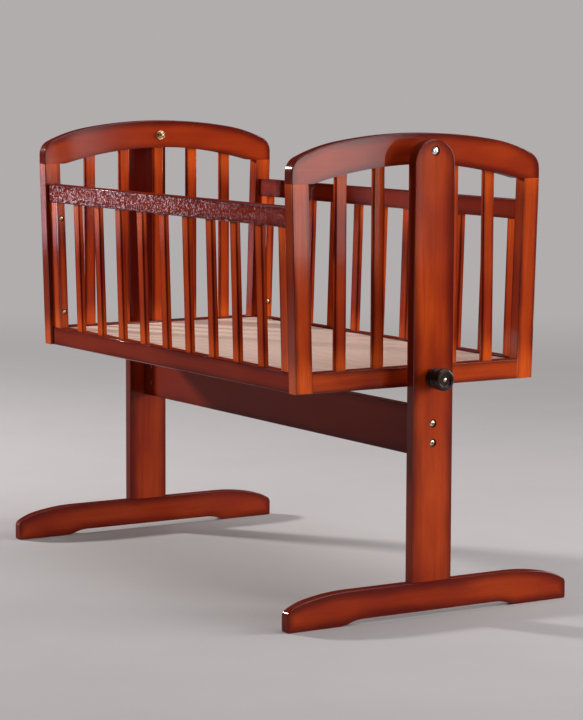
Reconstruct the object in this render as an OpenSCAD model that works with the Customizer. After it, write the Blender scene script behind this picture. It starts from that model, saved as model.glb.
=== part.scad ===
// Swinging baby cradle: a slatted crib hung between two posts on a floor stand.
// X runs along the cradle, Y across it and Z up. The origin is on the floor,
// under the middle of the whole object, lock knob included.

/* [Cradle] */
// Length over the outer faces of the two end panels
cradle_l = 968; // [920:1:1040]
// Width over an end panel at its lower edge
cradle_w_low = 514; // [506:1:522]
// Width over an end panel at the shoulder, where the top rail sits on the stiles
cradle_w_top = 536; // [530:1:544]
// Height of the cradle's underside above the floor
cradle_z = 410; // [404:1:416]
// Height of the top edge of the side panels
side_top_z = 737; // [725:1:745]
// Thickness of the end panel boards
end_t = 25; // [24:1:27]
// Width of an end panel stile
stile_w = 35; // [32:1:38]
// Height of every straight rail
rail_h = 36; // [34:1:40]
// Thickness of the side panel rails
side_rail_t = 22; // [21:1:24]
// Width of a side panel stile
side_stile_w = 34; // [30:1:38]
// Thickness of a side panel stile
side_stile_t = 18; // [16:1:20]
// How far the side panels stand in from the edges of the end panels
side_inset = 5; // [3:1:7]

/* [Arched top rail] */
// Height of the joint between a top rail and its stiles
shoulder_z = 778; // [774:1:782]
// Height of the crown of the arch
arch_z = 863.5; // [860:0.5:868]
// Radius of the crown of the arch
arch_r = 1020; // [960:10:1080]
// Distance from the middle at which the crown turns into the tighter haunches
haunch_y = 165; // [155:1:172]
// Radius of the haunches
haunch_r = 335; // [320:5:350]
// Radius of the rounded shoulders
shoulder_r = 30; // [27:1:33]
// Depth of the top rail at the crown
arch_depth = 55.5; // [53:0.5:58]
// Radius of the arch's lower edge
under_r = 830; // [800:5:860]
// Radius of the curve from the flat of the shoulder into the arch
ogee_r = 40; // [34:1:46]

/* [Slats] */
// Width of a slat
slat_w = 24; // [20:1:28]
// Thickness of a slat
slat_t = 10; // [8:1:12]
// Radius of a slat's long edges
slat_edge_r = 3; // [2:0.5:3.5]
// Depth that each end of a slat is let into its rail
slat_let_in = 10; // [8:1:12]
// Distance between the centres of the end panel slats
end_slat_pitch = 80; // [76:1:84]

/* [Base board] */
// Thickness of the plywood base board
board_t = 9; // [6:1:10]
// Depth of the board's top below the top edge of the bottom rails
board_drop = 3; // [2:1:5]
// Side of the square cleats that carry the board
cleat_s = 18; // [14:1:18]

/* [Stand] */
// Gap between an end panel and its post
swing_gap = 29; // [26:1:32]
// Thickness of the posts and the feet
post_t = 21; // [20:1:24]
// Width of a post
post_w = 86; // [82:1:90]
// Height of the round top of a post
post_z = 853.5; // [850:0.5:857]
// Length of a foot
foot_l = 608; // [590:2:630]
// Height of a foot
foot_h = 62.5; // [58:0.5:66]
// Length of the flat on top of a foot
foot_flat = 344; // [330:2:360]
// Radius that a foot's top falls away with, past the flat
foot_top_r = 430; // [400:10:460]
// Distance from the middle at which the foot's top turns down into its nose
nose_y = 262; // [256:1:268]
// Radius of the nose
nose_r = 120; // [110:5:130]
// Height of the relief under the middle of a foot
foot_relief = 9; // [8:1:12]
// Half of the distance between the two pads of a foot
foot_pad_y = 197; // [185:1:205]
// Height of the stretcher's lower edge
stretcher_z = 286; // [280:1:292]
// Height of the stretcher board
stretcher_h = 89; // [84:1:90]
// Thickness of the stretcher board
stretcher_t = 20; // [19:1:22]

/* [Pivot and lock] */
// Height of the pivot that the cradle swings on
pivot_z = 833.5; // [831:0.5:835]
// Diameter of the pivot bolts
pivot_d = 8; // [6:1:8]
// Diameter of the lock stud
stud_d = 10; // [8:1:10]
// Largest diameter of the lock knob
knob_d = 40; // [36:1:44]
// Distance that the lock knob stands out from its post
knob_reach = 38; // [38:0.5:40]

/* [Hidden] */
$fn = 48;

// Colours
STAIN = [0.50, 0.13, 0.06];
PLYWOOD = [0.80, 0.66, 0.55];
BEECH = [0.82, 0.68, 0.50];
NICKEL = [0.80, 0.79, 0.76];
BRASS = [0.76, 0.62, 0.34];
DARK = [0.10, 0.06, 0.05];

// Small clearances
seat = 0.05;      // round a fixed pin, dowel or slat in its hole
running = 0.06;   // round a shaft that turns or slides
face_gap = 0.5;   // between flat faces that pass each other
eps = 0.01;

// Places along X, from the middle of the stand
mid_x = -knob_reach / 2;
end_x = cradle_l / 2;
in_x = end_x - end_t;
post_in = end_x + swing_gap;
post_out = post_in + post_t;

// Slope and height of the side panels
lean = atan((cradle_w_top - cradle_w_low) / 2 / (shoulder_z - cradle_z));
side_h = (side_top_z - cradle_z) / cos(lean);
side_slats = 9;
side_slat_gap = (2 * (in_x - side_stile_w) - side_slats * slat_w) / (side_slats + 1);

// Dowels and screws
dowel_d = 8;
dowel_in = 18;
post_dowel_d = 10;
post_dowel_in = 30;
screw_d = 4;
cleat_end_gap = 20;

// Stretcher bolts
m6_d = 6;
stretcher_bolt_gap = 35;
stretcher_bolt_z = [for (s = [-1, 1]) stretcher_z + stretcher_h / 2 + s * stretcher_bolt_gap / 2];
stretcher_head_d = 11;
stretcher_cbore_d = 15;
cbore_depth = 4;
barrel_d = 10;
barrel_x = post_in - 30;

// Side panel bolts
side_bolt_inset = 32;
side_bolt_z = [rail_h + side_bolt_inset, side_h - rail_h - side_bolt_inset];
side_head_d = 10;
side_cbore_d = 12;
insert_d = 10;
insert_l = 16;

// Pivot
pivot_head_d = 14;
pivot_cbore_d = 18;
bush_d = 13;
bush_flange_d = 22;
bush_flange_t = 1.5;
spacer_d = 16;
washer_d = 18;
washer_t = 1.4;
cap_nut_d = 15;
cap_nut_t = 5;

// Lock
lock_z = cradle_z + 20;
lock_bush_d = 15;
stud_tip_gap = 1;
stud_in_knob = 26;
socket_d = 15;
socket_l = 7;

// Half of an end panel's width at height z
function half_w(z) = cradle_w_low / 2 + (z - cradle_z) * tan(lean);

// Points along an arc about c, from angle a to angle b
function arc(c, r, a, b, n) =
    [for (i = [0:n]) c + r * [cos(a + (b - a) * i / n), sin(a + (b - a) * i / n)]];

// Y position of end slat i, counted from the left
function end_slat_y(i) = (i - 3) * end_slat_pitch;

// Height of the arch's lower edge at y
function arch_under(y) = arch_z - arch_depth - under_r + sqrt(under_r * under_r - y * y);

// ---------- helpers ----------

// Moves the stand's own middle to its place beside the origin
module place() translate([mid_x, 0, 0]) children();

// Repeats a near-end shape at the far end
module both_ends() for (s = [0, 1]) mirror([s, 0, 0]) children();

// Extrudes a Y-Z outline along X
module board(x, t) translate([x, 0, 0]) rotate([90, 0, 90]) linear_extrude(t) children();

// A cylinder along X, from x0 to x1
module rod_x(x0, x1, d) translate([x0, 0, 0]) rotate([0, 90, 0]) cylinder(d = d, h = x1 - x0);

// A cylinder along Z, from z0 to z1
module rod_z(z0, z1, d) translate([0, 0, z0]) cylinder(d = d, h = z1 - z0);

// A hollow cylinder along X
module tube_x(x0, x1, d, bore) {
    difference() {
        rod_x(x0, x1, d);
        rod_x(x0 - 1, x1 + 1, bore);
    }
}

// A rectangle with round corners: a slat's section, grown by c all round
module slat_section(w, t, c) {
    r = slat_edge_r + c;
    square([w + 2 * c, t + 2 * c - 2 * r], center = true);
    square([w + 2 * c - 2 * r, t + 2 * c], center = true);
    for (sx = [-1, 1], sy = [-1, 1])
        translate([sx * (w / 2 + c - r), sy * (t / 2 + c - r)]) circle(r);
}

// The outline of a dome of height h on a round base of diameter d, its foot at z
function dome(d, z, h, n) =
    let (r = (d * d / 4 + h * h) / (2 * h), a = acos(d / 2 / r))
    concat([for (p = arc([0, z + h - r], r, a, 90, n)) if (p[0] > d / 100) p], [[0, z + h]]);

// A domed bolt head with a hexagon socket, its seat at x = 0
module socket_head(d, t, key) {
    rotate([0, 90, 0]) difference() {
        rotate_extrude($fn = 48) polygon(concat([[0, 0], [d / 2, 0]], dome(d, t * 0.55, t * 0.45, 5)));
        translate([0, 0, t * 0.35]) cylinder(d = key, h = t, $fn = 6);
    }
}

// ---------- end panels ----------

function top_rail_outline() =
    let (
        half = cradle_w_top / 2,
        c = [0, arch_z - arch_r],
        ht = acos(haunch_y / arch_r),
        h = c + (arch_r - haunch_r) * [cos(ht), sin(ht)],
        st = acos((half - shoulder_r - h[0]) / (haunch_r - shoulder_r)),
        s = h + (haunch_r - shoulder_r) * [cos(st), sin(st)],
        u = [0, arch_z - arch_depth - under_r],
        oz = shoulder_z + ogee_r,
        oy = sqrt(pow(under_r + ogee_r, 2) - pow(oz - u[1], 2)),
        ot = atan2(oz - u[1], oy)
    )
    concat(
        [[half, shoulder_z]],
        arc(s, shoulder_r, 0, st, 10),
        arc(h, haunch_r, st, ht, 8),
        arc(c, arch_r, ht, 180 - ht, 24),
        arc([-h[0], h[1]], haunch_r, 180 - ht, 180 - st, 8),
        arc([-s[0], s[1]], shoulder_r, 180 - st, 180, 10),
        [[-half, shoulder_z]],
        arc([-oy, oz], ogee_r, -90, ot - 180 + 2 * (90 - ot), 4),
        arc(u, under_r, 180 - ot, ot, 30),
        arc([oy, oz], ogee_r, ot - 180, -90, 4)
    );

// An end slat, grown by c for its housing
module end_slat_solid(i, c) {
    y = end_slat_y(i);
    low = cradle_z + rail_h - slat_let_in - c;
    high = arch_under(abs(y) + slat_w / 2) + slat_let_in + c;
    translate([in_x + end_t / 2, y, low]) linear_extrude(high - low) slat_section(slat_t, slat_w, c);
}

// The dowels of an end panel, grown by c for their holes
module end_dowels_solid(c) {
    for (s = [-1, 1]) {
        translate([in_x + end_t / 2, s * (half_w(shoulder_z) - stile_w / 2), 0])
            rod_z(shoulder_z - dowel_in - c, shoulder_z + dowel_in + c, dowel_d + 2 * c);
        for (z = [cradle_z + rail_h * 0.28, cradle_z + rail_h * 0.72])
            translate([in_x + end_t / 2, s * (half_w(z) - stile_w), z])
                rotate([90, 0, 0])
                    cylinder(d = dowel_d + 2 * c, h = 2 * (dowel_in + c), center = true);
    }
}

module end_top_rail() {
    difference() {
        board(in_x, end_t) polygon(top_rail_outline());
        for (i = [1:5]) end_slat_solid(i, seat);
        end_dowels_solid(seat);
        translate([0, 0, pivot_z]) rod_x(in_x - 1, end_x + 1, bush_d + 2 * seat);
    }
}

// The bottom rail of an end panel; the lock's socket is let into the near one
module end_bottom_rail(has_lock) {
    low = half_w(cradle_z) - stile_w;
    high = half_w(cradle_z + rail_h) - stile_w;
    difference() {
        board(in_x, end_t) polygon([
            [-low, cradle_z], [low, cradle_z],
            [high, cradle_z + rail_h], [-high, cradle_z + rail_h]
        ]);
        for (i = [1:5]) end_slat_solid(i, seat);
        end_dowels_solid(seat);
        if (has_lock) {
            translate([0, 0, lock_z])
                rod_x(end_x - socket_l - seat, end_x + 1, socket_d + 2 * seat);
        }
    }
}

// A stile of an end panel: s is -1 on the left and 1 on the right
module end_stile(s) {
    low = half_w(cradle_z);
    high = half_w(shoulder_z);
    difference() {
        board(in_x, end_t) polygon([
            [s * low, cradle_z], [s * high, shoulder_z],
            [s * (high - stile_w), shoulder_z], [s * (low - stile_w), cradle_z]
        ]);
        end_dowels_solid(seat);
        on_side(s) for (z = side_bolt_z)
            translate([0, side_rail_t / 2, z]) rod_x(in_x - 1, in_x + insert_l + 1, insert_d + 2 * seat);
    }
}

// ---------- side panels ----------

// Places a panel that is drawn with X along it, Y inwards and Z up its slope:
// s is -1 for the left side and 1 for the right
module on_side(s) {
    mirror([0, s > 0 ? 1 : 0, 0])
        translate([0, side_inset - half_w(cradle_z), cradle_z])
            rotate([lean, 0, 0]) children();
}

module side_slat_solid(i, c) {
    low = rail_h - slat_let_in - c;
    high = side_h - rail_h + slat_let_in + c;
    x = -in_x + side_stile_w + i * side_slat_gap + (i - 0.5) * slat_w;
    translate([x, side_rail_t / 2, low]) linear_extrude(high - low) slat_section(slat_w, slat_t, c);
}

// The dowels between the stiles and rails of a side panel
module side_dowels_solid(c) {
    both_ends() for (z = [rail_h, side_h - rail_h])
        translate([in_x - side_stile_w / 2, side_rail_t / 2, 0])
            rod_z(z - dowel_in - c, z + dowel_in + c, dowel_d + 2 * c);
}

// A straight rail of a side panel, its lower edge at z up the slope
module side_rail(z) {
    difference() {
        translate([-in_x, 0, z]) cube([2 * in_x, side_rail_t, rail_h]);
        for (i = [1:side_slats]) side_slat_solid(i, seat);
        side_dowels_solid(seat);
        if (z == 0) cleat_screws_solid(seat);
    }
}

// A stile of a side panel, at its near end
module side_stile() {
    difference() {
        translate([in_x - side_stile_w, (side_rail_t - side_stile_t) / 2, rail_h])
            cube([side_stile_w, side_stile_t, side_h - 2 * rail_h]);
        side_dowels_solid(seat);
        for (z = side_bolt_z) translate([0, side_rail_t / 2, z]) {
            rod_x(in_x - side_stile_w - 1, in_x + 1, m6_d + 2 * seat);
            rod_x(in_x - side_stile_w - 1, in_x - side_stile_w + cbore_depth, side_cbore_d);
        }
    }
}

// ---------- base board ----------

board_top = cradle_z + rail_h - board_drop;
board_half_w = half_w(board_top - board_t) - side_inset - side_rail_t - 1.2;
cleat_top = (board_top - board_t - cradle_z - (side_rail_t + cleat_s) * sin(lean)) / cos(lean) - 0.1;
cleat_half_l = in_x - cleat_end_gap;

module base_board_solid() {
    translate([-in_x + 1.5, -board_half_w, board_top - board_t])
        cube([2 * in_x - 3, 2 * board_half_w, board_t]);
}

// Screws through a cleat into the bottom rail
module cleat_screws_solid(c) {
    for (x = [-0.9, -0.3, 0.3, 0.9])
        translate([x * cleat_half_l, side_rail_t + cleat_s, cleat_top - cleat_s / 2]) rotate([90, 0, 0]) {
            translate([0, 0, -c]) cylinder(d1 = 2 * (screw_d + c), d2 = screw_d + 2 * c, h = screw_d / 2 + c);
            cylinder(d = screw_d + 2 * c, h = cleat_s + side_rail_t * 0.6 + c);
        }
}

module cleat() {
    difference() {
        translate([-cleat_half_l, side_rail_t, cleat_top - cleat_s])
            cube([2 * cleat_half_l, cleat_s, cleat_s]);
        cleat_screws_solid(seat);
    }
}

// ---------- stand ----------

function post_outline() = concat(
    [[-post_w / 2, foot_h], [post_w / 2, foot_h]],
    arc([0, post_z - post_w / 2], post_w / 2, 0, 180, 36)
);

// One half of a foot's outline, from the middle of its underside to the middle of its top
function foot_half() =
    let (
        tip_r = 12,
        sole_r = 4,
        step_r = 70,
        step_a = 19.6,
        blend_r = foot_relief / (1 - cos(step_a)) - step_r,
        blend_y = foot_pad_y - (step_r + blend_r) * sin(step_a),
        half = foot_l / 2,
        c = [foot_flat / 2, foot_h - foot_top_r],
        nt = acos((nose_y - c[0]) / foot_top_r),
        n = c + (foot_top_r - nose_r) * [cos(nt), sin(nt)],
        ty = half - tip_r,
        tz = n[1] + sqrt(pow(nose_r - tip_r, 2) - pow(ty - n[0], 2)),
        tt = atan2(tz - n[1], ty - n[0])
    )
    concat(
        arc([blend_y, foot_relief - blend_r], blend_r, 90, 90 - step_a, 6),
        arc([foot_pad_y, step_r], step_r, -90 - step_a, -90, 6),
        arc([half - sole_r, sole_r], sole_r, -90, 0, 4),
        arc([ty, tz], tip_r, 0, tt, 6),
        arc(n, nose_r, tt, nt, 6),
        arc(c, foot_top_r, nt, 90, 6)
    );

function foot_outline() =
    let (h = foot_half(), n = len(h))
    concat(h, [for (i = [n - 1:-1:0]) [-h[i][0], h[i][1]]]);

// The dowels between a post and its foot, grown by c for their holes
module post_dowels_solid(c) {
    for (s = [-1, 1]) translate([post_in + post_t / 2, s * post_w * 0.28, 0])
        rod_z(foot_h - post_dowel_in - c, foot_h + post_dowel_in + c, post_dowel_d + 2 * c);
}

// A post; the lock's bush goes through the near one
module post(has_lock) {
    difference() {
        board(post_in, post_t) polygon(post_outline());
        post_dowels_solid(seat);
        translate([0, 0, pivot_z]) {
            rod_x(post_in - 1, post_out + 1, pivot_d + 2 * seat);
            rod_x(post_out - cbore_depth, post_out + 1, pivot_cbore_d);
        }
        for (z = stretcher_bolt_z) translate([0, 0, z]) {
            rod_x(post_in - 1, post_out + 1, m6_d + 2 * seat);
            rod_x(post_out - cbore_depth, post_out + 1, stretcher_cbore_d);
        }
        if (has_lock) {
            translate([0, 0, lock_z]) rod_x(post_in - 1, post_out + 1, lock_bush_d + 2 * seat);
        }
    }
}

module foot() {
    difference() {
        board(post_in, post_t) polygon(foot_outline());
        post_dowels_solid(seat);
    }
}

module stretcher_solid() {
    difference() {
        translate([-post_in, -stretcher_t / 2, stretcher_z])
            cube([2 * post_in, stretcher_t, stretcher_h]);
        both_ends() for (z = stretcher_bolt_z) translate([0, 0, z]) {
            rod_x(post_in - 42, post_in + 1, m6_d + 2 * seat);
            translate([barrel_x, 0, 0]) rotate([90, 0, 0])
                cylinder(d = barrel_d + 2 * seat, h = stretcher_t + 2, center = true);
        }
    }
}

module stretcher_bolts_solid() {
    both_ends() for (z = stretcher_bolt_z) translate([0, 0, z]) {
        rod_x(barrel_x - 8, post_out - cbore_depth, m6_d);
        translate([post_out - cbore_depth, 0, 0]) socket_head(stretcher_head_d, 3.2, 5);
    }
}

module barrel_nuts_solid() {
    both_ends() for (z = stretcher_bolt_z) translate([barrel_x, 0, z]) difference() {
        rotate([90, 0, 0]) cylinder(d = barrel_d, h = stretcher_t - 1, center = true);
        rod_x(-barrel_d, barrel_d, m6_d + 2 * seat);
        for (s = [-1, 1]) translate([0, s * stretcher_t / 2, 0])
            cube([1.6, 3.4, barrel_d + 1], center = true);
    }
}

// ---------- pivot ----------

module pivot_bolts_solid() {
    both_ends() translate([0, 0, pivot_z]) {
        rod_x(in_x - face_gap - washer_t - cap_nut_t, post_out - cbore_depth, pivot_d);
        translate([post_out - cbore_depth, 0, 0]) socket_head(pivot_head_d, 3.6, 6);
    }
}

module pivot_spacers_solid() {
    both_ends() translate([0, 0, pivot_z])
        tube_x(end_x + bush_flange_t + face_gap, post_in, spacer_d, pivot_d + 2 * seat);
}

module pivot_washers_solid() {
    both_ends() translate([0, 0, pivot_z])
        tube_x(in_x - face_gap - washer_t, in_x - face_gap, washer_d, pivot_d + 2 * seat);
}

// Cap nuts: a hexagon with a domed end, over the threaded end of each pivot bolt
module pivot_cap_nuts_solid() {
    both_ends() translate([in_x - face_gap - washer_t, 0, pivot_z]) rotate([0, -90, 0]) difference() {
        union() {
            cylinder(d = cap_nut_d, h = cap_nut_t, $fn = 6);
            rotate_extrude($fn = 48)
                polygon(concat([[0, 1], [cap_nut_d * 0.42, 1]], dome(cap_nut_d * 0.84, cap_nut_t, 4, 6)));
        }
        translate([0, 0, -1]) cylinder(d = pivot_d + 2 * seat, h = cap_nut_t + 1.5);
    }
}

module pivot_bushes_solid() {
    both_ends() translate([0, 0, pivot_z]) difference() {
        union() {
            rod_x(in_x, end_x + eps, bush_d);
            rod_x(end_x, end_x + bush_flange_t, bush_flange_d);
        }
        rod_x(in_x - 1, end_x + 3, pivot_d + 2 * running);
    }
}

// ---------- lock ----------

// The knob's turned outline, radius against distance from the post
function knob_outline() =
    let (r = knob_d / 2, l = knob_reach - face_gap)
    concat(
        [[0, 0]],
        arc([r - 4, 1.5], 1.5, -90, 0, 4),
        arc([r - 4, 4], 1.5, 0, 90, 4),
        arc([r - 4, 9], 3.5, 270, 150, 6),
        arc([r - 5, 15.5], 4.2, -70, 70, 8),
        arc([r - 1.5, 22], 2, 230, 130, 5),
        arc([r - 3, 27], 3, -60, 0, 4),
        arc([r - 4, l - 4], 4, 0, 80, 6),
        arc([r - 6.2, l - 1.2], 1.2, 70, 160, 4),
        arc([r - 9, l - 1.5], 2.5, 0, -90, 5),
        [[0, l - 4]]
    );

module lock_knob_solid() {
    translate([post_out + face_gap, 0, lock_z]) difference() {
        rotate([0, 90, 0]) rotate_extrude($fn = 96) polygon(knob_outline());
        rod_x(-1, stud_in_knob + seat, stud_d + 2 * seat);
        rod_x(0, knob_reach, screw_d + 2 * seat);
    }
}

module lock_stud_solid() {
    translate([0, 0, lock_z]) difference() {
        rod_x(end_x + stud_tip_gap, post_out + face_gap + stud_in_knob, stud_d);
        rod_x(post_out + face_gap + stud_in_knob - 12, post_out + knob_reach, screw_d + 2 * seat);
    }
}

module lock_knob_screw_solid() {
    head = post_out + knob_reach - 4;
    translate([0, 0, lock_z]) {
        rod_x(post_out + face_gap + stud_in_knob - 10, head + eps, screw_d);
        translate([head, 0, 0]) socket_head(1.8 * screw_d, 2.2, 2.5);
    }
}

// ---------- nodes: stand ----------

module near_post() color(STAIN) place() post(true);
module far_post() color(STAIN) place() mirror([1, 0, 0]) post(false);
module near_foot() color(STAIN) place() foot();
module far_foot() color(STAIN) place() mirror([1, 0, 0]) foot();
module stretcher() color(STAIN) place() stretcher_solid();
module post_dowels() color(BEECH) place() both_ends() post_dowels_solid(0);
module stretcher_bolts() color(NICKEL) place() stretcher_bolts_solid();
module stretcher_barrel_nuts() color(NICKEL) place() barrel_nuts_solid();
module pivot_bolts() color(NICKEL) place() pivot_bolts_solid();
module pivot_spacers() color(NICKEL) place() pivot_spacers_solid();
module pivot_washers() color(BRASS) place() pivot_washers_solid();
module pivot_cap_nuts() color(BRASS) place() pivot_cap_nuts_solid();

module lock_bush() {
    color(BRASS) place() translate([0, 0, lock_z])
        tube_x(post_in, post_out, lock_bush_d, stud_d + 2 * running);
}

// ---------- nodes: lock ----------

module lock_knob() color(DARK) place() lock_knob_solid();
module lock_stud() color(NICKEL) place() lock_stud_solid();
module lock_knob_screw() color(NICKEL) place() lock_knob_screw_solid();

module lock_socket() {
    color(BRASS) place() translate([0, 0, lock_z])
        tube_x(end_x - socket_l, end_x, socket_d, stud_d + 1);
}

// ---------- nodes: end panels ----------

module near_top_rail() color(STAIN) place() end_top_rail();
module near_bottom_rail() color(STAIN) place() end_bottom_rail(true);
module near_left_stile() color(STAIN) place() end_stile(-1);
module near_right_stile() color(STAIN) place() end_stile(1);
module near_slat(i) color(STAIN) place() end_slat_solid(i, 0);
module near_end_dowels() color(BEECH) place() end_dowels_solid(0);
module far_top_rail() color(STAIN) place() mirror([1, 0, 0]) end_top_rail();
module far_bottom_rail() color(STAIN) place() mirror([1, 0, 0]) end_bottom_rail(false);
module far_left_stile() color(STAIN) place() mirror([1, 0, 0]) end_stile(-1);
module far_right_stile() color(STAIN) place() mirror([1, 0, 0]) end_stile(1);
module far_slat(i) color(STAIN) place() mirror([1, 0, 0]) end_slat_solid(i, 0);
module far_end_dowels() color(BEECH) place() mirror([1, 0, 0]) end_dowels_solid(0);
module pivot_bushes() color(BRASS) place() pivot_bushes_solid();

// ---------- nodes: side panels ----------

module side_top_rail(s) color(STAIN) place() on_side(s) side_rail(side_h - rail_h);
module side_bottom_rail(s) color(STAIN) place() on_side(s) side_rail(0);
module side_near_stile(s) color(STAIN) place() on_side(s) side_stile();
module side_far_stile(s) color(STAIN) place() on_side(s) mirror([1, 0, 0]) side_stile();
module side_slat_row(s) color(STAIN) place() on_side(s) for (i = [1:side_slats]) side_slat_solid(i, 0);
module side_dowels(s) color(BEECH) place() on_side(s) side_dowels_solid(0);
module side_cleat(s) color(BEECH) place() on_side(s) cleat();

module base_board() color(PLYWOOD) place() base_board_solid();

module cleat_screws() {
    color(BRASS) place() for (s = [-1, 1]) on_side(s) cleat_screws_solid(0);
}

module side_bolts() {
    color(BRASS) place() for (s = [-1, 1]) on_side(s) both_ends() for (z = side_bolt_z)
        translate([0, side_rail_t / 2, z]) {
            rod_x(in_x - side_stile_w + cbore_depth, in_x + insert_l - 1, m6_d);
            translate([in_x - side_stile_w + cbore_depth, 0, 0])
                rotate([0, 180, 0]) socket_head(side_head_d, 3.4, 5);
        }
}

module side_inserts() {
    color(BRASS) place() for (s = [-1, 1]) on_side(s) both_ends() for (z = side_bolt_z)
        translate([0, side_rail_t / 2, z])
            tube_x(in_x + 0.5, in_x + insert_l, insert_d, m6_d + 2 * seat);
}

// ---------- parts ----------

near_post();
far_post();
near_foot();
far_foot();
stretcher();
post_dowels();
stretcher_bolts();
stretcher_barrel_nuts();
pivot_bolts();
pivot_spacers();
pivot_washers();
pivot_cap_nuts();
lock_bush();
lock_knob();
lock_stud();
lock_knob_screw();
near_top_rail();
near_bottom_rail();
near_left_stile();
near_right_stile();
near_slat(1);  // near_slat_1
near_slat(2);  // near_slat_2
near_slat(3);  // near_slat_3
near_slat(4);  // near_slat_4
near_slat(5);  // near_slat_5
far_top_rail();
far_bottom_rail();
far_left_stile();
far_right_stile();
far_slat(1);  // far_slat_1
far_slat(2);  // far_slat_2
far_slat(3);  // far_slat_3
far_slat(4);  // far_slat_4
far_slat(5);  // far_slat_5
side_top_rail(-1);  // left_top_rail
side_bottom_rail(-1);  // left_bottom_rail
side_near_stile(-1);  // left_near_stile
side_far_stile(-1);  // left_far_stile
side_slat_row(-1);  // left_slats
side_top_rail(1);  // right_top_rail
side_bottom_rail(1);  // right_bottom_rail
side_near_stile(1);  // right_near_stile
side_far_stile(1);  // right_far_stile
side_slat_row(1);  // right_slats
base_board();
side_cleat(-1);  // left_cleat
side_cleat(1);  // right_cleat
cleat_screws();
side_bolts();
side_inserts();
pivot_bushes();
lock_socket();
near_end_dowels();
far_end_dowels();
side_dowels(-1);  // left_side_dowels
side_dowels(1);  // right_side_dowels
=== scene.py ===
"""A slatted wooden baby cradle on its swing stand, in a plain grey studio."""

import math

import bpy
from mathutils import Matrix, Vector


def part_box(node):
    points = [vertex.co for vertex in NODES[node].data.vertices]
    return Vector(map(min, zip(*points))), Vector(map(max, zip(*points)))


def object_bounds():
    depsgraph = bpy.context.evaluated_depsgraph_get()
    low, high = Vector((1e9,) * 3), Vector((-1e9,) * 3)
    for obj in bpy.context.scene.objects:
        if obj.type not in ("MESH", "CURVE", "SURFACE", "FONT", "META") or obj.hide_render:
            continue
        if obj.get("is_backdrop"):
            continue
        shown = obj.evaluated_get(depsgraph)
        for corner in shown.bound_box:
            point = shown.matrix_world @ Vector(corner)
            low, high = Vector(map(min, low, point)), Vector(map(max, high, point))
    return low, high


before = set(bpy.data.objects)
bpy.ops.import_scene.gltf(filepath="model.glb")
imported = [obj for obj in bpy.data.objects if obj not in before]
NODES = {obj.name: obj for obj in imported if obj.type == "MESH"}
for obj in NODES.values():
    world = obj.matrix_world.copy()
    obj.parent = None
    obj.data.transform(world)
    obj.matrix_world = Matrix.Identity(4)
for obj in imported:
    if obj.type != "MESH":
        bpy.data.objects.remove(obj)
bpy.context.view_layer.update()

# ------------------------------------------------------------------ the object's own measures, in metres

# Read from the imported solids. The X measures of posts and end panels count from the stand's middle.
MID_X = (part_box("near_post")[1].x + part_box("far_post")[0].x) / 2
PIVOT_Z = sum(c.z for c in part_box("pivot_bolts")) / 2
LOW_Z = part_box("near_bottom_rail")[0].z  # the cradle's underside
JOINT_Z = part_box("near_top_rail")[0].z  # where the arched rails sit on their stiles
HALF_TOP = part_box("near_top_rail")[1].y
END_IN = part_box("near_top_rail")[0].x - MID_X
END_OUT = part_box("near_top_rail")[1].x - MID_X
POST_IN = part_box("near_post")[0].x - MID_X
POST_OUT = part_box("near_post")[1].x - MID_X
POST_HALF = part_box("near_post")[1].y
POST_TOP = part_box("near_post")[1].z
FOOT_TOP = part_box("near_foot")[1].z
FOOT_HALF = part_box("near_foot")[1].y
ARCH_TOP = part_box("near_top_rail")[1].z

# Repeated from part.scad, which this script can't read
HALF_LOW = 0.257  # half the width of an end panel at its lower edge
FOOT_FLAT = 0.172  # half the flat on top of a foot
FOOT_R = 0.430  # radius that a foot's top falls away with
NOSE_Y, NOSE_R = 0.262, 0.120  # where a foot's top turns down, and the radius of that curve
RELIEF = 0.009  # height of the relief under a foot
RELIEF_RUN = (0.145, 0.197)  # how far from the middle the relief runs out, from full height to none
ARCH_R = 1.020  # radius of the arch's crown
HAUNCH_Y, HAUNCH_R = 0.165, 0.335  # where the crown turns into the haunches, and their radius
SHOULDER_R = 0.030  # radius of the rounded shoulders
ARCH_DEPTH = 0.0555  # depth of the top rail at its crown
UNDER_R = 0.830  # radius of the arch's lower edge
RAIL_H = 0.036  # height of every straight rail
END_STILE, SIDE_STILE = 0.035, 0.034  # widths of the stiles
SIDE_T, SIDE_STILE_T = 0.022, 0.018  # thicknesses of a side panel's rails and stiles
SIDE_INSET = 0.005  # how far a side panel stands in from the end panels' edges
SIDE_LOW_Z, SIDE_TOP_Z = 0.410, 0.737  # lower and top edge of the side panels
SIDE_SLATS = 9  # slats in a side panel
SLAT_W, SLAT_HALF_W, SLAT_HALF_T = 0.024, 0.012, 0.005  # a slat's width and its half measures
SLAT_LET_IN = 0.010  # how deep a slat's ends sit in the rails
STRETCHER_BOLT_Z = (0.348, 0.313)
LOCK_Z = 0.430
NUT_X = 0.483  # the stretcher's barrel nuts, from the stand's middle
SIDE_BOLTS = ((0.2405, 0.478), (0.2465, 0.669))  # Y and Z of the side panels' bolts in an end stile

LEAN = math.atan((HALF_TOP - HALF_LOW) / (JOINT_Z - LOW_Z))  # how far the side panels lean outwards
UNDER_Z = ARCH_TOP - ARCH_DEPTH - UNDER_R  # centre of the arch's lower edge
X_AXIS, Y_AXIS, Z_AXIS = (1, 0, 0), (0, 1, 0), (0, 0, 1)
GRAIN_X, GRAIN_Y, GRAIN_Z = 0, 1, 2
PAST_END = 0.4  # a half length that reaches past a board's ends, so that they don't count as edges
SKIN = 0.0003  # depth under a board's broad faces at which soften() still rounds edges


# ------------------------------------------------------------------ node helpers

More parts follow.
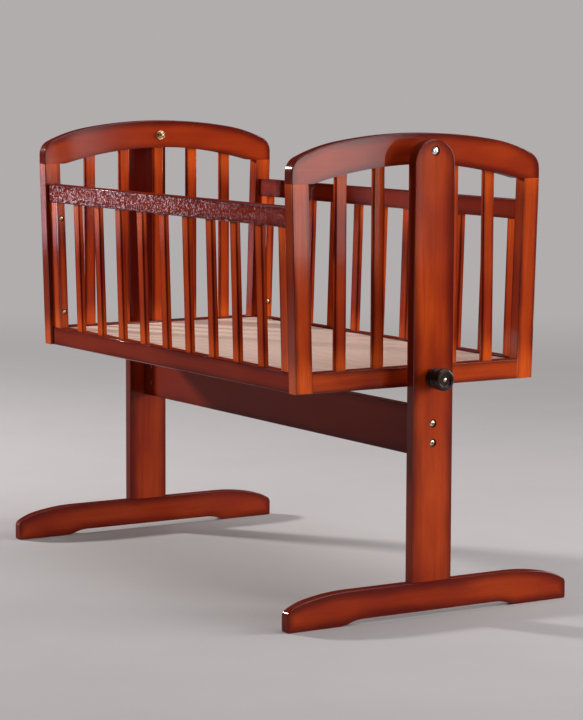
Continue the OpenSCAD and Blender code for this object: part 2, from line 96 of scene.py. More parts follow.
class Net:
    """Short names for the shader nodes of one material."""

    def __init__(self, name):
        self.mat = bpy.data.materials.new(name)
        self.mat.use_nodes = True
        self.tree = self.mat.node_tree
        self.tree.nodes.clear()
        self.out = self.new("ShaderNodeOutputMaterial")

    def new(self, kind, **settings):
        node = self.tree.nodes.new(kind)
        for key, value in settings.items():
            setattr(node, key, value)
        return node

    def put(self, socket, value):
        if isinstance(value, bpy.types.NodeSocket):
            self.tree.links.new(value, socket)
        else:
            socket.default_value = value

    def math(self, op, *values):
        node = self.new("ShaderNodeMath", operation=op)
        for socket, value in zip(node.inputs, values):
            self.put(socket, value)
        return node.outputs[0]

    def vec(self, op, *values):
        node = self.new("ShaderNodeVectorMath", operation=op)
        for socket, value in zip(node.inputs, values):
            self.put(socket, value)
        return node.outputs["Value"] if op in ("LENGTH", "DOT_PRODUCT") else node.outputs["Vector"]

    def xyz(self, vector):
        node = self.new("ShaderNodeSeparateXYZ")
        self.put(node.inputs[0], vector)
        return node.outputs

    def place(self):
        return self.new("ShaderNodeTexCoord").outputs["Object"]

    def local(self, centre, tilt):
        """Object coordinates as seen from a board's own centre and slope."""
        node = self.new("ShaderNodeMapping", vector_type="TEXTURE")
        self.put(node.inputs["Vector"], self.place())
        node.inputs["Location"].default_value = centre
        node.inputs["Rotation"].default_value = (tilt, 0, 0)
        return node.outputs[0]

    def noise(self, vector, scale, detail=3.0, rough=0.55, warp=0.0):
        node = self.new("ShaderNodeTexNoise")
        self.put(node.inputs["Vector"], vector)
        node.inputs["Scale"].default_value = scale
        node.inputs["Detail"].default_value = detail
        node.inputs["Roughness"].default_value = rough
        node.inputs["Distortion"].default_value = warp
        return node.outputs["Fac"]

    def smooth(self, value, low, high, to_low=0.0, to_high=1.0):
        node = self.new("ShaderNodeMapRange", interpolation_type="SMOOTHSTEP")
        ends = (("From Min", low), ("From Max", high), ("To Min", to_low), ("To Max", to_high))
        for key, v in (("Value", value), *ends):
            self.put(node.inputs[key], v)
        return node.outputs[0]

    def mix(self, factor, a, b):
        node = self.new("ShaderNodeMix", data_type="RGBA", blend_type="MIX")
        self.put(node.inputs["Factor"], factor)
        for key, v in (("A", a), ("B", b)):
            socket = next(s for s in node.inputs if s.name == key and s.type == "RGBA")
            self.put(socket, v if isinstance(v, bpy.types.NodeSocket) else (*v, 1.0))
        return next(s for s in node.outputs if s.type == "RGBA")

    def bump(self, height, distance, normal=None):
        node = self.new("ShaderNodeBump")
        node.inputs["Strength"].default_value = 1.0
        node.inputs["Distance"].default_value = distance
        self.put(node.inputs["Height"], height)
        if normal is not None:
            self.put(node.inputs["Normal"], normal)
        return node.outputs[0]

    def fibres(self, at, grain, stretch):
        """Coordinates in which a pattern is drawn out along the wood's grain."""
        return self.vec("MULTIPLY", at, tuple(stretch if i == grain else 1.0 for i in range(3)))

    def shader(self, **values):
        node = self.new("ShaderNodeBsdfPrincipled")
        for key, value in values.items():
            self.put(node.inputs[key.replace("_", " ")], value)
        self.tree.links.new(node.outputs[0], self.out.inputs["Surface"])
        return self.mat


def seed(name):
    """A number from 0 to 1 that depends only on a piece's name."""
    return sum((i + 3) * ord(c) * 37 for i, c in enumerate(name)) % 997 / 997


# ------------------------------------------------------------------ stained and lacquered wood

ORANGE = (0.55, 0.069, 0.009)
RED = (0.33, 0.029, 0.006)
BARE = (0.80, 0.115, 0.013)
DARK = (0.095, 0.006, 0.004)


def median(net, x, y, z):
    """The middle one of three values: on a board's face, the distance to its nearest edge."""
    return net.math("MAXIMUM", net.math("MINIMUM", x, y), net.math("MINIMUM", net.math("MAXIMUM", x, y), z))


def board_edge(net, local, half):
    """Distance to the nearest edge of a straight board."""
    inside = net.vec("SUBTRACT", tuple(half), net.vec("ABSOLUTE", local))
    x, y, z = net.xyz(inside)
    return median(net, x, y, z)


def in_arc(net, radius, y, z):
    """How far inside a circle a point is, given its place from the circle's centre."""
    squares = net.math("ADD", net.math("MULTIPLY", y, y), net.math("MULTIPLY", z, z))
    return net.math("SUBTRACT", radius, net.math("SQRT", squares))


def choose(net, test, off, on):
    """off where test is 0 and on where it is 1."""
    return net.math("ADD", off, net.math("MULTIPLY", test, net.math("SUBTRACT", on, off)))


def post_edge(net, local, half):
    """Distance to the edge of a post with a round top. The joint with the foot doesn't count."""
    x, y, z = net.xyz(local)
    over = net.math("MAXIMUM", net.math("SUBTRACT", z, POST_TOP - POST_HALF), 0.0)
    side = in_arc(net, POST_HALF, y, over)
    face = net.math("SUBTRACT", half[0], net.math("ABSOLUTE", x))
    return net.math("MAXIMUM", side, face)


def foot_edge(net, local, half):
    """Distance to the edge of a foot: its falling top, its ends and the relief under it."""
    x, y, z = net.xyz(local)
    away = net.math("ABSOLUTE", y)
    turn = math.asin((NOSE_Y - FOOT_FLAT) / FOOT_R)
    nose_y = FOOT_FLAT + (FOOT_R - NOSE_R) * math.sin(turn)
    nose_z = FOOT_TOP - FOOT_R + (FOOT_R - NOSE_R) * math.cos(turn)
    past = net.math("MAXIMUM", net.math("SUBTRACT", away, FOOT_FLAT), 0.0)
    falling = in_arc(net, FOOT_R, past, net.math("SUBTRACT", z, FOOT_TOP - FOOT_R))
    nose = in_arc(net, NOSE_R, net.math("SUBTRACT", away, nose_y), net.math("SUBTRACT", z, nose_z))
    top = choose(net, net.math("GREATER_THAN", away, NOSE_Y), falling, nose)
    sole = net.math("SUBTRACT", z, net.smooth(away, *RELIEF_RUN, RELIEF, 0.0))
    end = net.math("SUBTRACT", FOOT_HALF, away)
    outline = net.math("MINIMUM", net.math("MINIMUM", top, sole), end)
    face = net.math("SUBTRACT", half[0], net.math("ABSOLUTE", x))
    return net.math("MAXIMUM", outline, face)


def arch_edge(net, local, half):
    """Distance to the edge of an arched top rail."""
    x, y, z = net.xyz(local)
    away = net.math("ABSOLUTE", y)
    turn = math.asin(HAUNCH_Y / ARCH_R)
    haunch_y = (ARCH_R - HAUNCH_R) * math.sin(turn)
    haunch_z = ARCH_TOP - ARCH_R + (ARCH_R - HAUNCH_R) * math.cos(turn)
    corner_y = HALF_TOP - SHOULDER_R
    corner_z = haunch_z + math.sqrt((HAUNCH_R - SHOULDER_R) ** 2 - (corner_y - haunch_y) ** 2)
    crown = in_arc(net, ARCH_R, y, net.math("SUBTRACT", z, ARCH_TOP - ARCH_R))
    haunch = in_arc(net, HAUNCH_R, net.math("SUBTRACT", away, haunch_y), net.math("SUBTRACT", z, haunch_z))
    top = choose(net, net.math("GREATER_THAN", away, HAUNCH_Y), crown, haunch)
    side = net.math("MAXIMUM", net.math("SUBTRACT", away, corner_y), 0.0)
    above = net.math("MAXIMUM", net.math("SUBTRACT", z, corner_z), 0.0)
    over = net.math("MULTIPLY", above, net.math("GREATER_THAN", side, 0.0))
    end = in_arc(net, SHOULDER_R, side, over)
    under = net.math("SUBTRACT", 0.004, in_arc(net, UNDER_R, y, net.math("SUBTRACT", z, UNDER_Z)))
    outline = net.math("MINIMUM", net.math("MINIMUM", top, under), end)
    face = net.math("SUBTRACT", half[0], net.math("ABSOLUTE", x))
    return net.math("MAXIMUM", outline, face)


def stained(name, centre, half, grain, toner, tilt=0.0, edge=board_edge, bare=None, peel=0.03, tone=0.0,
            pitch=None, coat=0.42, rim=0.0, deep=0.0, shade=None, flake=False, glint=1.0):
    """Stained wood under gloss lacquer.

    centre, half and tilt are the board's place, half size and slope, and grain is the axis that its
    fibres run along. edge measures how far a point is from the board's edge, and toner is how far the
    darker spray reaches in from there. bare = (low, high) are the heights, from the board's centre, of
    the corners that the spray reached least, where the wood stays lighter. peel is the depth of the
    lacquer's orange peel in millimetres, and coat how strongly the lacquer shines. tone turns the whole
    board redder. pitch is the distance between the boards of a row along X that share one material. rim
    darkens the narrow faces of a board whose broad faces look along X, and deep the whole board.
    shade = (low, high, amount) paints shade on the side that looks along +X, from nothing at the low height
    to amount at the high one. On the far post and foot, the extra deep darkening is painted shade too. flake
    breaks the lacquer's sheen into small glints. glint is how much lacquer stands on the board's rounded edges."""
    net = Net(name)
    own = seed(name)
    local = net.local(centre, tilt)
    at = net.vec("ADD", local, (own * 7.0, own * 13.0 + 2.0, own * 5.0 + 1.0))
    along = net.fibres(at, grain, 0.035)

    cloud = net.noise(net.fibres(at, grain, 0.35), 14.0, 2.0, 0.5)
    figure = net.noise(along, 95.0, 5.0, 0.62, 0.35)
    fine = net.noise(along, 520.0, 2.0, 0.6)
    pores = net.noise(net.fibres(at, grain, 0.10), 640.0, 1.0, 0.5)

    wobble = net.math("MULTIPLY", net.math("SUBTRACT", cloud, 0.5), toner * 1.1)
    board = local
    if pitch is not None:
        x, y, z = net.xyz(local)
        number = net.math("ROUND", net.math("DIVIDE", x, pitch))
        own_x = net.math("SUBTRACT", x, net.math("MULTIPLY", number, pitch))
        fold = net.new("ShaderNodeCombineXYZ")
        for socket, value in zip(fold.inputs, (own_x, y, z)):
            net.put(socket, value)
        board = fold.outputs[0]
    depth = edge(net, board, half)
    reach = net.math("ADD", depth, wobble)
    dark = net.math("MULTIPLY", net.smooth(reach, 0.0, toner, 1.0, 0.0), 0.88)
    if rim:
        inward = net.math("SUBTRACT", half[0], net.math("ABSOLUTE", net.xyz(board)[0]))
        dark = net.math("MAXIMUM", dark, net.smooth(inward, 0.0010, 0.0030, 0.0, rim))

    colour = net.mix(net.smooth(cloud, 0.30, 0.72), RED, ORANGE)
    if bare is not None:
        z = net.xyz(local)[2]
        low = net.smooth(z, bare[0], bare[0] + 0.055, 1.0, 0.0)
        high = net.smooth(z, bare[1] - 0.075, bare[1], 0.0, 1.0)
        light = net.math("MAXIMUM", low, high)
        colour = net.mix(net.math("MULTIPLY", light, 0.75), colour, BARE)
        dark = net.math("MULTIPLY", dark, net.math("SUBTRACT", 1.0, net.math("MULTIPLY", light, 0.6)))
    colour = net.mix(net.smooth(figure, 0.44, 0.70, 0.0, 0.42), colour, (0.22, 0.018, 0.007))
    colour = net.mix(net.smooth(fine, 0.52, 0.75, 0.0, 0.28), colour, (0.18, 0.014, 0.006))
    colour = net.mix(net.smooth(pores, 0.66, 0.78, 0.0, 0.30), colour, (0.12, 0.010, 0.006))
    if tone:
        colour = net.mix(tone, colour, RED)
    if pitch is not None:
        dice = net.new("ShaderNodeTexWhiteNoise", noise_dimensions="1D")
        net.put(dice.inputs["W"], net.math("ADD", number, own * 50.0))
        colour = net.mix(net.math("MULTIPLY", dice.outputs["Value"], 0.45), colour, RED)
    colour = net.mix(dark, colour, DARK)
    if deep:
        colour = net.mix(deep, colour, DARK)
    # Painted shade: darkens the side that looks along +X, more towards the top.
    if shade is not None:
        inner = net.smooth(net.xyz(local)[0], -0.004, 0.006)
        dim = net.smooth(net.xyz(local)[2], shade[0], shade[1], 0.0, shade[2])
        colour = net.mix(net.math("MULTIPLY", inner, dim), colour, DARK)

    peel_at = net.noise(at, 330.0, 2.0, 0.5)
    grain_bump = net.bump(net.math("ADD", figure, net.math("MULTIPLY", fine, 0.5)), 0.00005)
    lacquer = net.bump(peel_at, 0.001 * peel, normal=grain_bump)
    rough = net.smooth(figure, 0.3, 0.8, 0.40, 0.50)
    if flake:
        coat = net.smooth(net.noise(at, 270.0, 2.0, 0.6), 0.53, 0.64, 0.02, coat)
    coat = net.math("MAXIMUM", coat, net.smooth(depth, 0.0006, 0.0022, glint, 0.0))
    return net.shader(
        Base_Color=colour, Roughness=rough, Normal=grain_bump, IOR=1.05,
        Coat_Weight=coat, Coat_Roughness=0.09, Coat_IOR=1.5, Coat_Normal=lacquer,
    )


def plain_wood(name, centre, grain, colour, line, tilt=0.0):
    """Unstained wood with fine lines along its grain."""
    net = Net(name)
    own = seed(name)
    local = net.local(centre, tilt)
    at = net.vec("ADD", local, (own * 3.0, own * 9.0 + 1.0, own * 4.0))
    figure = net.noise(net.fibres(at, grain, 0.06), 120.0, 4.0, 0.6, 0.5)
    cloud = net.noise(at, 9.0, 2.0, 0.5)
    mixed = net.mix(net.smooth(figure, 0.35, 0.72), colour, line)
    mixed = net.mix(net.smooth(cloud, 0.3, 0.8, 0.0, 0.35), mixed, tuple(c * 0.9 for c in colour))
    return net.shader(
        Base_Color=mixed, Roughness=net.smooth(figure, 0.3, 0.8, 0.48, 0.62),
        Normal=net.bump(figure, 0.00015), Specular_IOR_Level=0.4,
    )


def plywood(name, centre):
    """The base board: rotary-cut face veneer, pale and slightly pink, with wavy lines along the board."""
    net = Net(name)
    local = net.local(centre, 0.0)
    x, y, _ = net.xyz(local)
    at = net.vec("ADD", local, (3.1, 1.7, 0.4))
    bend = net.noise(net.vec("MULTIPLY", at, (0.6, 1.0, 1.0)), 5.0, 3.0, 0.55)
    wave = net.math("ADD", y, net.math("MULTIPLY", bend, 0.10))
    rings = net.math("SINE", net.math("MULTIPLY", wave, 560.0))
    combine = net.new("ShaderNodeCombineXYZ")
    net.put(combine.inputs[0], net.math("MULTIPLY", x, 0.05))
    net.put(combine.inputs[1], wave)
    streak = net.noise(combine.outputs[0], 170.0, 4.0, 0.65)
    colour = net.mix(net.smooth(streak, 0.33, 0.70), (0.86, 0.66, 0.56), (0.66, 0.46, 0.365))
    colour = net.mix(net.smooth(rings, -0.2, 1.0, 0.0, 0.35), colour, (0.58, 0.385, 0.305))
    colour = net.mix(net.smooth(bend, 0.35, 0.7, 0.0, 0.3), colour, (0.84, 0.65, 0.56))
    return net.shader(
        Base_Color=colour, Roughness=net.smooth(streak, 0.3, 0.7, 0.40, 0.52), Normal=net.bump(streak, 0.0001),
        Specular_IOR_Level=0.45, Coat_Weight=0.25, Coat_Roughness=0.3,
    )


# ------------------------------------------------------------------ metal and the knob's finish

def metal(name, colour, dull, rough):
    """Plated metal with faint tarnish and fine turning marks."""
    net = Net(name)
    at = net.place()
    stain = net.noise(at, 260.0, 3.0, 0.6)
    marks = net.noise(net.vec("MULTIPLY", at, (1.0, 6.0, 6.0)), 900.0, 2.0, 0.6)
    return net.shader(
        Base_Color=net.mix(net.smooth(stain, 0.40, 0.75, 0.0, 0.7), colour, dull), Metallic=1.0,
        Roughness=net.smooth(stain, 0.3, 0.8, rough, rough + 0.16), Normal=net.bump(marks, 0.00004),
    )


def knob_finish(name):
    """Dark turned knob: nearly black brown, glossy, with a little wear on its rims."""
    net = Net(name)
    at = net.place()
    cloud = net.noise(at, 120.0, 3.0, 0.6)
    streak = net.noise(net.vec("MULTIPLY", at, (1.0, 0.08, 1.0)), 900.0, 3.0, 0.6)
    colour = net.mix(net.smooth(cloud, 0.35, 0.75), (0.010, 0.004, 0.003), (0.034, 0.010, 0.006))
    colour = net.mix(net.smooth(streak, 0.5, 0.8, 0.0, 0.4), colour, (0.060, 0.020, 0.011))
    return net.shader(
        Base_Color=colour, Roughness=net.smooth(cloud, 0.3, 0.8, 0.26, 0.38), Normal=net.bump(cloud, 0.00012),
        Specular_IOR_Level=0.2, Coat_Weight=0.3, Coat_Roughness=0.05,
    )


# ------------------------------------------------------------------ softened edges

def soften(name, width, core, planes=(), rods=(), segments=3):
    """Rounds a CAD board's edges with modifiers, leaving its mesh as it is.

    core = (normal, offset, half) leaves sharp every edge nearer than half to the board's middle plane,
    which takes in pockets and dowel holes. planes = [(normal, offset, factor)] makes the rounding smaller
    along edges that lie in a joint. rods = [(point, axis, radius, factor)] does the same for the mouths of
    bolt holes and for other edges inside a cylinder. A factor of 0 leaves an edge sharp, which keeps
    nearly collinear edges from being rounded into each other."""
    node = NODES[name]
    group = bpy.data.node_groups.new("soften_" + node.name, "GeometryNodeTree")
    group.interface.new_socket("Geometry", in_out="INPUT", socket_type="NodeSocketGeometry")
    group.interface.new_socket("Geometry", in_out="OUTPUT", socket_type="NodeSocketGeometry")

    def new(kind, **settings):
        made = group.nodes.new(kind)
        for key, value in settings.items():
            setattr(made, key, value)
        return made

    def put(socket, value):
        if isinstance(value, bpy.types.NodeSocket):
            group.links.new(value, socket)
        else:
            socket.default_value = value

    def math_node(op, *values):
        made = new("ShaderNodeMath", operation=op)
        for socket, value in zip(made.inputs, values):
            put(socket, value)
        return made.outputs[0]

    def vec_node(op, *values):
        made = new("ShaderNodeVectorMath", operation=op)
        for socket, value in zip(made.inputs, values):
            put(socket, value)
        return made.outputs["Value"] if op in ("LENGTH", "DOT_PRODUCT") else made.outputs["Vector"]

    start, end = new("NodeGroupInput"), new("NodeGroupOutput")
    here = new("GeometryNodeInputPosition").outputs[0]
    angle = new("GeometryNodeInputMeshEdgeAngle").outputs["Unsigned Angle"]
    weight = math_node("GREATER_THAN", angle, math.radians(38))

    def scaled(near, factor):
        """weight, times factor where near is 1."""
        return math_node("MULTIPLY", weight, math_node("SUBTRACT", 1.0, math_node("MULTIPLY", near, 1.0 - factor)))

    def close(normal, offset, reach):
        """1 where the edge is nearer than reach to a plane."""
        off = math_node("SUBTRACT", vec_node("DOT_PRODUCT", here, normal), offset)
        return math_node("LESS_THAN", math_node("ABSOLUTE", off), reach)

    weight = scaled(close(*core), 0.0)
    for normal, offset, factor in planes:
        weight = scaled(close(normal, offset, 0.0004), factor)
    for point, axis, radius, factor in rods:
        off = vec_node("SUBTRACT", here, point)
        flat = vec_node("MULTIPLY", off, tuple(1.0 - abs(a) for a in axis))
        weight = scaled(math_node("LESS_THAN", vec_node("LENGTH", flat), radius), factor)

    clear = new("GeometryNodeRemoveAttribute")
    put(clear.inputs["Geometry"], start.outputs[0])
    clear.inputs["Name"].default_value = "custom_normal"
    faces = new("GeometryNodeSetShadeSmooth", domain="FACE")
    put(faces.inputs["Geometry"], clear.outputs[0])
    faces.inputs["Shade Smooth"].default_value = True
    edges = new("GeometryNodeSetShadeSmooth", domain="EDGE")
    put(edges.inputs["Geometry"], faces.outputs[0])
    put(edges.inputs["Shade Smooth"], math_node("LESS_THAN", angle, math.radians(28)))
    store = new("GeometryNodeStoreNamedAttribute", data_type="FLOAT", domain="EDGE")
    put(store.inputs["Geometry"], edges.outputs[0])
    put(store.inputs["Name"], "bevel_weight_edge")
    put(store.inputs["Value"], weight)
    put(end.inputs[0], store.outputs[0])

    weld = node.modifiers.new("weld", "WELD")
    weld.merge_threshold = 0.000002
    marks = node.modifiers.new("marks", "NODES")
    marks.node_group = group
    bevel = node.modifiers.new("soften", "BEVEL")
    bevel.limit_method = "WEIGHT"
    bevel.width = width
    bevel.segments = segments
    bevel.use_clamp_overlap = False
    bevel.harden_normals = True
    bevel.miter_outer = "MITER_ARC"


def dress(name, material):
    """Gives a CAD node its material."""
    for slot in NODES[name].material_slots:
        slot.material = material


def stain(name, centre, half, grain, **look):
    """Stains and lacquers a CAD board."""
    dress(name, stained(name, centre, half, grain, **look))


# ------------------------------------------------------------------ stand

for side, s in (("near", 1), ("far", -1)):
    x = MID_X + s * (POST_IN + POST_OUT) / 2
    half_t = (POST_OUT - POST_IN) / 2
    core = (X_AXIS, x, half_t - SKIN)
    name = side + "_post"
    # Painted shade: the far post is darker all over (deep) than the near one, and darker still towards its top on
    # the side that faces the cradle (shade), where the cradle shades it.
    stain(name, (x, 0, 0), (half_t, POST_HALF, 0.5), GRAIN_Z, edge=post_edge, toner=0.025, rim=0.8, coat=0.3,
          deep=0.0 if s > 0 else 0.28, shade=None if s > 0 else (0.38, 0.52, 0.93))
    bolts = [((x, 0, z), X_AXIS, 0.011, 0.1) for z in (PIVOT_Z, *STRETCHER_BOLT_Z, LOCK_Z)]
    soften(name, 0.0022, core, planes=[(Z_AXIS, FOOT_TOP, 0.1)], rods=bolts, segments=4)
    name = side + "_foot"
    # Painted shade: the far foot is darkened more (deep) than the near one.
    stain(name, (x, 0, 0), (half_t, FOOT_HALF, 0.03), GRAIN_Y, edge=foot_edge, toner=0.021, tone=0.35, rim=0.8,
          coat=0.3, deep=0.12 if s > 0 else 0.30)
    soften(name, 0.0022, core, segments=4)

z = sum(c.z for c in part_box("stretcher")) / 2
half = [(b - a) / 2 for a, b in zip(*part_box("stretcher"))]
stain("stretcher", (MID_X, 0, z), half, GRAIN_X, toner=0.020, tone=0.8, deep=0.7, coat=0.15)
nuts = [((MID_X + s * NUT_X, 0, k), Y_AXIS, 0.008, 0.1) for s in (-1, 1) for k in STRETCHER_BOLT_Z]
soften("stretcher", 0.0016, (Y_AXIS, 0.0, half[1] - SKIN), rods=nuts)

# ------------------------------------------------------------------ end panels

for side, s in (("near", 1), ("far", -1)):
    x = MID_X + s * (END_IN + END_OUT) / 2
    half_t = (END_OUT - END_IN) / 2
    core = (X_AXIS, x, half_t - SKIN)
    name = side + "_top_rail"
    stain(name, (x, 0, 0), (half_t, HALF_TOP, 0.03), GRAIN_Y, edge=arch_edge, toner=0.018, tone=0.5, rim=0.9,
          coat=0.5 if s > 0 else 0.3)
    sharp = [((x, 0, PIVOT_Z), X_AXIS, 0.009, 0.0), ((x, 0, UNDER_Z), X_AXIS, UNDER_R + 0.0018, 0.0)]
    soften(name, 0.0022, core, planes=[(Z_AXIS, JOINT_Z, 0.0)], rods=sharp, segments=4)

    name = side + "_bottom_rail"
    z = LOW_Z + RAIL_H / 2
    stain(name, (x, 0, z), (half_t, PAST_END, RAIL_H / 2), GRAIN_Y, toner=0.012, rim=0.8)
    inner = HALF_LOW - END_STILE - LOW_Z * math.tan(LEAN)
    planes = [((0, k, -math.tan(LEAN)), inner, 0.15) for k in (-1, 1)]
    soften(name, 0.0016, core, planes=planes, rods=[((x, 0, LOCK_Z), X_AXIS, 0.009, 0.1)])

    for hand, k in (("left", -1), ("right", 1)):
        name = f"{side}_{hand}_stile"
        y = k * ((HALF_LOW + HALF_TOP) / 2 - END_STILE / 2)
        z = (LOW_Z + JOINT_Z) / 2
        stain(name, (x, y, z), (half_t, END_STILE / 2, PAST_END), GRAIN_Z, tilt=-k * LEAN, toner=0.012,
              bare=(-0.165, 0.21), rim=0.5, coat=0.42 if s > 0 else 0.3)
        planes = [(Z_AXIS, JOINT_Z, 0.1), ((0, k, -math.tan(LEAN)), inner, 0.55)]
        holes = [((x, k * bolt_y, bolt_z), X_AXIS, 0.009, 0.1) for bolt_y, bolt_z in SIDE_BOLTS]
        soften(name, 0.0022, core, planes=planes, rods=holes, segments=4)

    for i in range(1, 6):
        name = f"{side}_slat_{i}"
        low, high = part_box(name)
        y = (low.y + high.y) / 2
        z = (low.z + high.z) / 2
        reach = (high.z - low.z) / 2 - SLAT_LET_IN
        stain(name, (x, y, z), (SLAT_HALF_T, SLAT_HALF_W, PAST_END), GRAIN_Z, toner=0.0075, bare=(-reach, reach),
              rim=0.5, coat=0.25, glint=0.6)

# ------------------------------------------------------------------ side panels

for hand, k in (("left", -1), ("right", 1)):
    out = (0, k * math.cos(LEAN), -math.sin(LEAN))  # the panel's outward normal
    face = Vector((MID_X, k * (HALF_LOW - SIDE_INSET), LOW_Z))
    up = Vector((0, k * math.sin(LEAN), math.cos(LEAN)))
    into = Vector((0, -k * math.cos(LEAN), math.sin(LEAN)))
    tall = (SIDE_TOP_Z - SIDE_LOW_Z) / math.cos(LEAN)
    half_z = tall / 2 - RAIL_H
    tilt = -k * LEAN
    middle = face + into * (SIDE_T / 2)
    offset = middle.dot(Vector(out))

    core = (out, offset, SIDE_T / 2 - SKIN)
    planes = [(X_AXIS, MID_X + END_IN, 0.1), (X_AXIS, MID_X - END_IN, 0.1)]
    rail = (END_IN, SIDE_T / 2, RAIL_H / 2)
    # Only the top rails have the sparkling, uneven lacquer.
    name = hand + "_top_rail"
    stain(name, middle + up * (tall - RAIL_H / 2), rail, GRAIN_X, tilt=tilt, toner=0.012, peel=0.24, tone=0.7,
          coat=1.0, deep=0.55, flake=True)
    soften(name, 0.0016, core, planes=planes)
    name = hand + "_bottom_rail"
    stain(name, middle + up * (RAIL_H / 2), rail, GRAIN_X, tilt=tilt, toner=0.012, tone=0.7, coat=0.12, deep=0.55)
    soften(name, 0.0016, core, planes=planes)

    core = (out, offset, SIDE_STILE_T / 2 - SKIN)
    low = (middle + up * RAIL_H).dot(up)
    high = (middle + up * (tall - RAIL_H)).dot(up)
    for end, s in (("near", 1), ("far", -1)):
        name = f"{hand}_{end}_stile"
        c = middle + up * (tall / 2) + Vector((s * (END_IN - SIDE_STILE / 2), 0, 0))
        stain(name, c, (SIDE_STILE / 2, SIDE_STILE_T / 2, PAST_END), GRAIN_Z, tilt=tilt, toner=0.009,
              bare=(-half_z, half_z), coat=0.2)
        planes = [(tuple(up), low, 0.1), (tuple(up), high, 0.1), (X_AXIS, MID_X + s * END_IN, 0.1)]
        soften(name, 0.0014, core, planes=planes)

    gap = (2 * (END_IN - SIDE_STILE) - SIDE_SLATS * SLAT_W) / (SIDE_SLATS + 1)
    stain(hand + "_slats", middle + up * (tall / 2), (SLAT_HALF_W, SLAT_HALF_T, PAST_END), GRAIN_Z, tilt=tilt,
          toner=0.0075, bare=(-half_z, half_z), pitch=gap + SLAT_W, coat=0.06, glint=0.25)

# ------------------------------------------------------------------ base board, cleats and dowels

low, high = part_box("base_board")
dress("base_board", plywood("base_board", ((low.x + high.x) / 2, 0, (low.z + high.z) / 2)))
BEECH, BEECH_LINE = (0.62, 0.43, 0.26), (0.47, 0.29, 0.16)
for name, k in (("left_cleat", -1), ("right_cleat", 1)):
    low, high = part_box(name)
    dress(name, plain_wood(name, (low + high) / 2, GRAIN_X, BEECH, BEECH_LINE, tilt=-k * LEAN))
    out = (0, k * math.cos(LEAN), -math.sin(LEAN))
    soften(name, 0.001, (out, (low + high).dot(Vector(out)) / 2, 0.0085))
dowels = plain_wood("dowels", (0, 0, 0), GRAIN_Z, BEECH, BEECH_LINE)
for name in ("post_dowels", "near_end_dowels", "far_end_dowels", "left_side_dowels", "right_side_dowels"):
    dress(name, dowels)

# ------------------------------------------------------------------ metal parts and the knob

NICKEL = metal("nickel", (0.86, 0.85, 0.82), (0.52, 0.50, 0.46), 0.16)
BRASS = metal("brass", (0.62, 0.46, 0.25), (0.30, 0.20, 0.10), 0.24)
PALE_BRASS = metal("pale_brass", (0.78, 0.66, 0.46), (0.40, 0.30, 0.18), 0.18)
for name in ("stretcher_bolts", "stretcher_barrel_nuts", "lock_knob_screw"):
    dress(name, PALE_BRASS)
for name in ("pivot_bolts", "pivot_spacers", "lock_stud"):
    dress(name, NICKEL)
for name in ("pivot_washers", "pivot_cap_nuts", "pivot_bushes", "lock_bush", "lock_socket", "cleat_screws",
             "side_bolts", "side_inserts"):
    dress(name, BRASS)
dress("lock_knob", knob_finish("knob"))

# ------------------------------------------------------------------ studio

FLOOR_GREY = (0.458, 0.437, 0.444)
WALL_GREY = (0.440, 0.418, 0.418)
LIGHT_AIM = (0.0, 0.0, 0.45)


def studio_floor():
    """A pale, round floor whose outer part fades into the backdrop."""
    net = Net("studio_floor")
    at = net.place()
    cloud = net.noise(at, 3.5, 3.0, 0.55)
    speck = net.noise(at, 220.0, 2.0, 0.5)
    colour = net.mix(net.smooth(cloud, 0.3, 0.75), FLOOR_GREY, tuple(c * 0.965 for c in FLOOR_GREY))
    colour = net.mix(net.smooth(speck, 0.4, 0.7, 0.0, 0.25), colour, tuple(c * 0.94 for c in FLOOR_GREY))
    net.shader(Base_Color=colour, Roughness=0.8, Normal=net.bump(speck, 0.0002), IOR=1.08)
    solid = next(n for n in net.tree.nodes if n.type == "BSDF_PRINCIPLED")
    clear = net.new("ShaderNodeBsdfTransparent")
    fade = net.new("ShaderNodeMixShader")
    net.put(fade.inputs[0], net.smooth(net.vec("LENGTH", at), 1.3, 5.5))
    net.tree.links.new(solid.outputs[0], fade.inputs[1])
    net.tree.links.new(clear.outputs[0], fade.inputs[2])
    net.tree.links.new(fade.outputs[0], net.out.inputs["Surface"])
    mesh = bpy.data.meshes.new("floor")
    count, radius = 96, 9.0
    turns = [2 * math.pi * i / count for i in range(count)]
    ring = [(radius * math.cos(turn), radius * math.sin(turn), 0.0) for turn in turns]
    mesh.from_pydata(ring, [], [list(range(count))])
    floor = bpy.data.objects.new("floor", mesh)
    bpy.context.scene.collection.objects.link(floor)
    mesh.materials.append(net.mat)
    floor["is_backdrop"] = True


def studio_world(shade):
    """The backdrop's grey, and a much dimmer room that lights the object and reflects in it."""
    world = bpy.data.worlds.new("studio")
    bpy.context.scene.world = world
    world.use_nodes = True
    tree = world.node_tree
    tree.nodes.clear()
    seen = tree.nodes.new("ShaderNodeBackground")
    room = tree.nodes.new("ShaderNodeBackground")
    seen.inputs["Color"].default_value = (*WALL_GREY, 1.0)
    room.inputs["Color"].default_value = (1.0, 0.965, 0.955, 1.0)
    room.inputs["Strength"].default_value = shade
    path = tree.nodes.new("ShaderNodeLightPath")
    mix = tree.nodes.new("ShaderNodeMixShader")
    out = tree.nodes.new("ShaderNodeOutputWorld")
    tree.links.new(path.outputs["Is Camera Ray"], mix.inputs[0])
    tree.links.new(room.outputs[0], mix.inputs[1])
    tree.links.new(seen.outputs[0], mix.inputs[2])
    tree.links.new(mix.outputs[0], out.inputs[0])


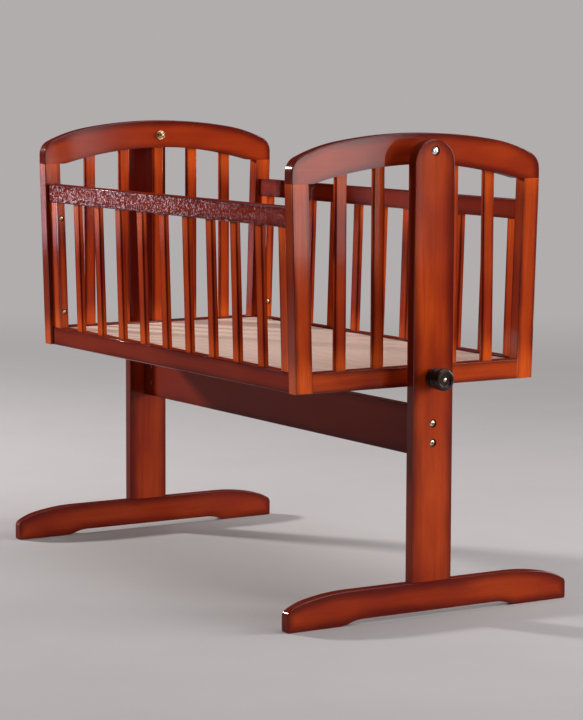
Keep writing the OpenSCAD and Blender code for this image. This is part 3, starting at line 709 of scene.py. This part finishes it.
def soft_light(name, azimuth, elevation, distance, size, power, colour):
    """A rectangular soft light that looks at the object. Azimuth turns from +X towards +Y, in degrees."""
    data = bpy.data.lights.new(name, "AREA")
    data.shape = "RECTANGLE"
    data.size, data.size_y = size
    data.energy = power
    data.color = colour
    light = bpy.data.objects.new(name, data)
    bpy.context.scene.collection.objects.link(light)
    a, e = math.radians(azimuth), math.radians(elevation)
    away = Vector((math.cos(a) * math.cos(e), math.sin(a) * math.cos(e), math.sin(e)))
    light.location = Vector(LIGHT_AIM) + away * distance
    light.rotation_mode = "QUATERNION"
    light.rotation_quaternion = away.to_track_quat("Z", "Y")


studio_floor()
studio_world(0.03)
soft_light("key_right", 57, 14, 4.0, (1.4, 1.8), 106, (1.0, 0.985, 0.97))
soft_light("sheen_right", 22, 9.3, 3.8, (1.0, 1.4), 27, (1.0, 0.985, 0.99))
soft_light("lamp_left", 210.6, 20, 4.6, (0.45, 0.45), 215, (1.0, 0.98, 0.96))
soft_light("panel_left", 209.3, -0.8, 4.6, (0.42, 0.35), 5.2, (1.0, 0.82, 0.97))
soft_light("top", 58, 76, 5.0, (5.0, 5.0), 190, (1.0, 0.99, 0.98))

# ------------------------------------------------------------------ camera

# Fitted to the photograph's edges. The azimuth turns from -Y towards +X.
AZIMUTH, ELEVATION, ROLL = math.radians(57.9347), math.radians(6.5672), math.radians(0.2346)
TARGET = Vector((0.02091 + MID_X, 0.02318, 0.40962))
DISTANCE = 5.18907
FOCAL_PX, FRAME_PX, SENSOR_MM = 2664.1, 720, 36.0

right = Vector((math.cos(AZIMUTH), math.sin(AZIMUTH), 0.0))
flat = math.cos(ELEVATION)
back = Vector((math.sin(AZIMUTH) * flat, -math.cos(AZIMUTH) * flat, math.sin(ELEVATION)))
up = back.cross(right)
turn_right = right * math.cos(ROLL) + up * math.sin(ROLL)
turn_up = back.cross(turn_right)
camera_data = bpy.data.cameras.new("camera")
camera_data.sensor_width = SENSOR_MM
camera_data.lens = FOCAL_PX / FRAME_PX * SENSOR_MM
camera_data.clip_start, camera_data.clip_end = 0.1, 60.0
camera = bpy.data.objects.new("camera", camera_data)
bpy.context.scene.collection.objects.link(camera)
turned = Matrix((turn_right, turn_up, back)).transposed().to_4x4()
camera.matrix_world = Matrix.Translation(TARGET + back * DISTANCE) @ turned
bpy.context.scene.camera = camera

bpy.context.scene.view_settings.view_transform = "Standard"

low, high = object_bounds()
